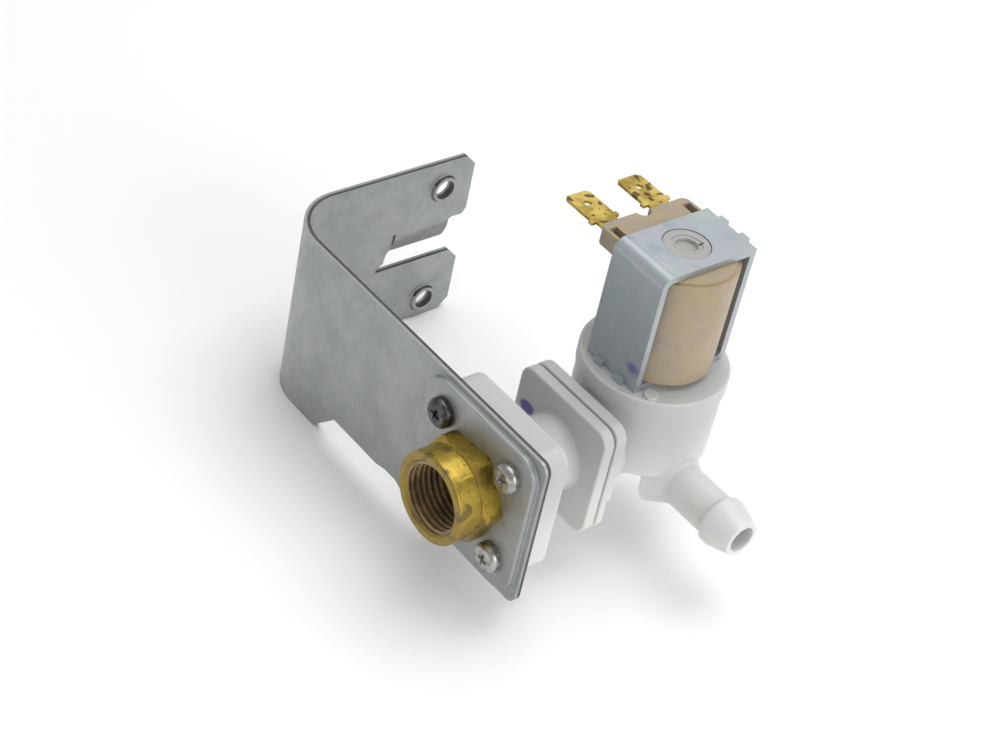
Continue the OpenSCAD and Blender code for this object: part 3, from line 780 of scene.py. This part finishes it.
# ---------------------------------------------------------------- bracket screws
def make_screw_head():
    """Pan head with a cross recess, drawn once with its top at the lowest Y."""
    middle = (0, pad_front - head_height / 2, 0)
    head = rod(head_radius, head_height, middle, "Y", 72, "screw_head")
    top = pad_front - head_height
    round_edges(head, lambda co: level(co.y, top), 1.45 * MM, 8)
    recess_length, recess_depth, recess_width = 3.9 * MM, 1.2 * MM, 0.95 * MM
    for turn in (0, 90):
        slot = block((recess_length, 2 * recess_depth, recess_width), (0, top, 0))
        edit(slot, "FACE")
        pick_faces(slot, lambda centre, normal: normal.y > 0.5)
        bpy.ops.transform.resize(value=(0.45, 1, 0.6))
        leave_edit()
        slot.rotation_euler = (0, math.radians(turn), 0)
        settle(slot)
        combine(head, slot, "DIFFERENCE")
    shank = rod(1.7 * MM, 8.6 * MM, (0, pad_front + 4.2 * MM, 0), "Y", 48)
    combine(head, shank, "UNION")
    soften(head, 0.1 * MM, 2, 40)
    return head


def make_screws():
    """Four copies of the screw, each turned its own way."""
    pattern = make_screw_head()
    corners = (
        ("screw_upper_left", -1, 1, 12, SCREW_DARK),
        ("screw_upper_right", 1, 1, -20, SCREW),
        ("screw_lower_left", -1, -1, 33, SCREW),
        ("screw_lower_right", 1, -1, 5, SCREW),
    )
    for name, right, up, turn, material in corners:
        screw = bpy.data.objects.new(name, pattern.data.copy())
        bpy.context.scene.collection.objects.link(screw)
        screw.rotation_euler = (0, math.radians(turn), 0)
        screw.location = (right * screw_place, 0, up * screw_place)
        settle(screw)
        screw.data.materials.clear()
        place(screw, material, "bracket_screws")
    bpy.data.objects.remove(pattern)


# ---------------------------------------------------------------- plastic mouldings
def on_outline(y):
    """A test for points on a block's or a flange's outline at one depth."""
    def test(co):
        return level(co.y, y) and max(abs(co.x), abs(co.z)) > 12 * MM
    return test


def on_neck(y):
    """A test for points on the ring where the adapter's neck meets a flat face."""
    def test(co):
        return level(co.y, y) and abs(math.hypot(co.x, co.z) - neck_radius) < 0.1 * MM
    return test


def make_adapter():
    piece = worked_copy("inlet_adapter", "adapter_moulding")
    block_back = adapter_low.y + block_depth
    flange_front = adapter_high.y - flange_depth
    round_edges(piece, on_outline(block_back), 0.7 * MM, 4)
    round_edges(piece, on_outline(flange_front), 0.5 * MM, 4)
    round_edges(piece, on_outline(adapter_high.y), 0.5 * MM, 4)
    round_edges(piece, on_neck(block_back), 0.9 * MM, 4)
    round_edges(piece, on_neck(flange_front), 0.9 * MM, 4)
    soften(piece, 0.2 * MM, 2)
    place(piece, MARKED, "inlet_adapter")


def make_valve_shell():
    piece = worked_copy("valve_body", "valve_moulding")
    round_edges(piece, on_outline(body_front), 0.5 * MM, 4)
    round_edges(piece, on_outline(body_front + flange_depth), 0.5 * MM, 4)

    def on_underside(co):
        out = math.hypot(co.x, co.y - valve_y)
        return level(co.z, body_underside) and out > 15.5 * MM and co.x < 11 * MM
    round_edges(piece, on_underside, 1.0 * MM, 4)
    soften(piece, 0.25 * MM, 3)
    place(piece, PLASTIC, "valve_body")


def make_bonnet():
    """Bonnet with a turned ring and a small notch in the top of its hub."""
    piece = worked_copy("bonnet", "bonnet_moulding")

    def on_rim_top(co):
        out = math.hypot(co.x, co.y - valve_y)
        return level(co.z, rim_top) and out > 16.2 * MM
    round_edges(piece, on_rim_top, 0.45 * MM, 4)
    ring = rod(3.5 * MM, 0.5 * MM, (0, valve_y, hub_top), sides=64)
    core = rod(2.7 * MM, 2 * MM, (0, valve_y, hub_top), sides=64)
    combine(ring, core, "DIFFERENCE")
    combine(piece, ring, "DIFFERENCE")
    notch = block((0.8 * MM, 1.6 * MM, 1.6 * MM), (1 * MM, valve_y + 3 * MM, hub_top))
    combine(piece, notch, "DIFFERENCE")
    soften(piece, 0.18 * MM, 2)
    place(piece, HUB, "bonnet")


# ---------------------------------------------------------------- yoke
def make_yoke(node, name, plate_z, leg_y, inward):
    """One angle strip with the two press lines of its bend; inward is the Z sign into the coil."""
    piece = worked_copy(node, name)
    for distance, dent in ((2.6 * MM, 0.2 * MM), (3.4 * MM, 0.08 * MM)):
        y = leg_y - inward * distance
        slice_loop(piece, (0, y, 0), (0, 1, 0))

        def on_line(co, y=y):
            return level(co.y, y) and level(co.z, plate_z)
        edit(piece)
        pick_edges(piece, on_line, -1)
        bpy.ops.mesh.bevel(offset=0.16 * MM, segments=2)
        leave_edit()
        edit(piece, "VERT")
        mesh = bmesh.from_edit_mesh(piece.data)
        for vertex in mesh.verts:
            if on_line(vertex.co):
                vertex.co.z += inward * dent
        bmesh.update_edit_mesh(piece.data)
        leave_edit()
    soften(piece, 0.16 * MM, 2)
    place(piece, ZINC, node)


# ---------------------------------------------------------------- coil cover, terminals
def make_cover():
    """Coil shell: its drum has a stepped top edge, and the terminal block is rounded."""
    piece = worked_copy("coil_cover", "coil_moulding_shell")
    step_depth = 0.7 * MM
    step = rod(drum_radius, 2 * step_depth, (0, valve_y, coil_top))
    core = rod(11.1 * MM, 3 * MM, (0, valve_y, coil_top))
    combine(step, core, "DIFFERENCE")
    drum_side = block((30 * MM, 40 * MM, 3 * MM), (8.4 * MM, valve_y, coil_top))
    combine(step, drum_side, "INTERSECT")
    combine(piece, step, "DIFFERENCE")

    def on_block_top(co):
        return co.z > coil_top + 0.85 * MM and co.x < -11.9 * MM
    round_edges(piece, on_block_top, 0.7 * MM, 4)
    soften(piece, 0.3 * MM, 3)
    place(piece, MOULDING, "coil_cover")


def make_blade(node, name):
    """A spade terminal with its tip chamfered thin."""
    piece = worked_copy(node, name)
    round_edges(piece, lambda co: co.x < blade_tip + 1.3 * MM, 0.28 * MM, 1, 60)
    soften(piece, 0.08 * MM, 2)
    place(piece, BLADE, node)


# ---------------------------------------------------------------- pieces inside
def make_yielding(node, name, material):
    """A copy of a node, smoothly shaded, with a mesh of its own."""
    piece = worked_copy(node, name)
    take(piece)
    bpy.ops.object.shade_smooth_by_angle(angle=math.radians(35))
    place(piece, material, node)
    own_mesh(piece)


def finish_inner_nodes():
    """Gives the hidden rigid pieces, which keep their CAD meshes, their materials."""
    finishes = {
        "fitting_seal": RUBBER, "flow_washer": RUBBER, "plunger_seal": RUBBER,
        "flange_gasket": SILICONE, "diaphragm_insert": PLASTIC, "inlet_screen": MESH,
        "plunger": STEEL, "lower_sleeve": ZINC, "upper_sleeve": ZINC,
        "bobbin": MOULDING, "winding": COPPER,
    }
    for node, material in finishes.items():
        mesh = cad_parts[node].data
        mesh.materials.clear()
        mesh.materials.append(material)


# ---------------------------------------------------------------- floor and light
def add_floor():
    """A plain pale floor just under the object."""
    gap = 0.02 * MM
    deselect()
    bpy.ops.mesh.primitive_plane_add(size=6, location=(0, 0, cad_box[0][2] - gap))
    floor = bpy.context.object
    floor.name = "floor"
    material, shader = new_material("pale_floor", 0.0, 0.9)
    shader.inputs["Base Color"].default_value = (0.93, 0.93, 0.93, 1)
    floor.data.materials.append(material)


def add_light(name, place_at, aim, size, power):
    """A square soft box turned towards a point."""
    data = bpy.data.lights.new(name, "AREA")
    data.shape = "SQUARE"
    data.size = size
    data.energy = power
    light = bpy.data.objects.new(name, data)
    light.location = place_at
    direction = Vector(aim) - Vector(place_at)
    light.rotation_euler = direction.to_track_quat("-Z", "Y").to_euler()
    bpy.context.scene.collection.objects.link(light)


def add_lights():
    """An even white surround, a soft box overhead and a weaker one on the right."""
    world = bpy.data.worlds.new("studio")
    world.use_nodes = True
    background = world.node_tree.nodes["Background"]
    background.inputs["Color"].default_value = (1, 1, 1, 1)
    background.inputs["Strength"].default_value = 0.6
    bpy.context.scene.world = world
    middle = (-0.02, 0.03, 0.0)
    add_light("overhead", (-0.05, 0.25, 0.75), middle, 0.6, 3.3)
    add_light("right_side", (0.75, 0.1, 0.35), middle, 0.5, 2.6)
    bpy.context.scene.view_settings.view_transform = "Standard"


make_bracket()
make_fitting()
make_screws()
make_adapter()
make_valve_shell()
make_bonnet()
make_yoke("yoke_upper", "yoke_upper_strip", yoke_high.z, yoke_low.y, -1)
make_yoke("yoke_lower", "yoke_lower_strip", lower_low.z, lower_high.y, 1)
make_cover()
make_blade("terminal_front", "blade_front")
make_blade("terminal_rear", "blade_rear")
make_yielding("plunger_spring", "return_spring", SPRING)
make_yielding("diaphragm", "diaphragm_sheet", RUBBER)
finish_inner_nodes()
add_floor()
add_lights()
